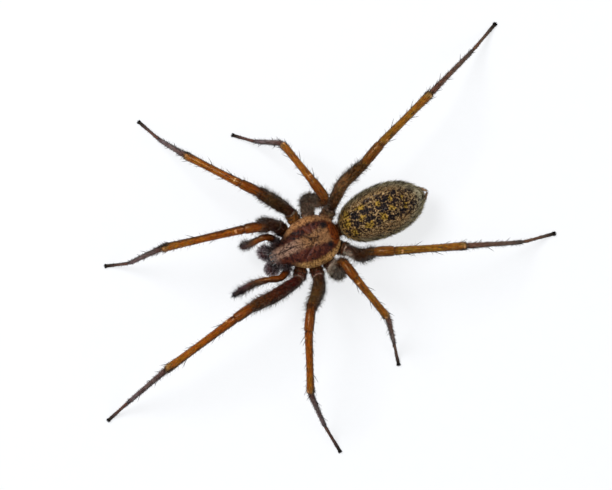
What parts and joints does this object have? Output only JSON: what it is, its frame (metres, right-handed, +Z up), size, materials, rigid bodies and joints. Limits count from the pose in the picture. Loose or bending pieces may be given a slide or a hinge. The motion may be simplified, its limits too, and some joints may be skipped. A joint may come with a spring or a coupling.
{
  "type": "tegenaria house spider, life-size still model",
  "caption": "Life-size still model of a female tegenaria house spider, standing with its long legs spread.",
  "frame": {"origin": "on the floor, below the middle of the spider's spread", "axes": "+Z up, the head towards -Y, the spider's left side towards +X"},
  "size_m": [0.035, 0.047, 0.0107],
  "materials": {
    "carapace": "satin, mottled brown with darker bands",
    "sternum": "satin brown",
    "waist": "satin orange-brown",
    "abdomen": "soft short hair, olive and yellow-brown with dark spots",
    "spinneret": "hairy light brown",
    "jaw": "half gloss, near black",
    "palp": "satin red-brown",
    "palp_tip": "dark, bristly",
    "eye": "glossy black",
    "coxa": "satin dark brown",
    "femur": "dark brown under greyish hair",
    "shin": "half gloss orange-brown",
    "metatarsus": "hairy purple-brown",
    "tarsus": "red-brown, black at the tip"
  },
  "bodies": {
    "root": {"carapace": "carapace", "sternum": "sternum", "pedicel": "waist", "abdomen": "abdomen", "spinnerets": "spinneret", "chelicera_left": "jaw", "chelicera_right": "jaw", "palp_left_femur": "palp", "palp_left_tarsus": "palp_tip", "palp_right_femur": "palp", "palp_right_tarsus": "palp_tip", "eye_left_front_middle": "eye", "eye_left_front_side": "eye", "eye_left_rear_middle": "eye", "eye_left_rear_side": "eye", "eye_right_front_middle": "eye", "eye_right_front_side": "eye", "eye_right_rear_middle": "eye", "eye_right_rear_side": "eye", "leg_left_1_coxa": "coxa", "leg_left_1_femur": "femur", "leg_left_1_tibia": "shin", "leg_left_1_metatarsus": "metatarsus", "leg_left_1_tarsus": "tarsus", "leg_left_2_coxa": "coxa", "leg_left_2_femur": "femur", "leg_left_2_tibia": "shin", "leg_left_2_metatarsus": "metatarsus", "leg_left_2_tarsus": "tarsus", "leg_left_3_coxa": "coxa", "leg_left_3_femur": "femur", "leg_left_3_tibia": "shin", "leg_left_3_metatarsus": "metatarsus", "leg_left_3_tarsus": "tarsus", "leg_left_4_coxa": "coxa", "leg_left_4_femur": "femur", "leg_left_4_tibia": "shin", "leg_left_4_metatarsus": "metatarsus", "leg_left_4_tarsus": "tarsus", "leg_right_1_coxa": "coxa", "leg_right_1_femur": "femur", "leg_right_1_tibia": "shin", "leg_right_1_metatarsus": "metatarsus", "leg_right_1_tarsus": "tarsus", "leg_right_2_coxa": "coxa", "leg_right_2_femur": "femur", "leg_right_2_tibia": "shin", "leg_right_2_metatarsus": "metatarsus", "leg_right_2_tarsus": "tarsus", "leg_right_3_coxa": "coxa", "leg_right_3_femur": "femur", "leg_right_3_tibia": "shin", "leg_right_3_metatarsus": "metatarsus", "leg_right_3_tarsus": "tarsus", "leg_right_4_coxa": "coxa", "leg_right_4_femur": "femur", "leg_right_4_tibia": "shin", "leg_right_4_metatarsus": "metatarsus", "leg_right_4_tarsus": "tarsus"}
  },
  "joints": []
}
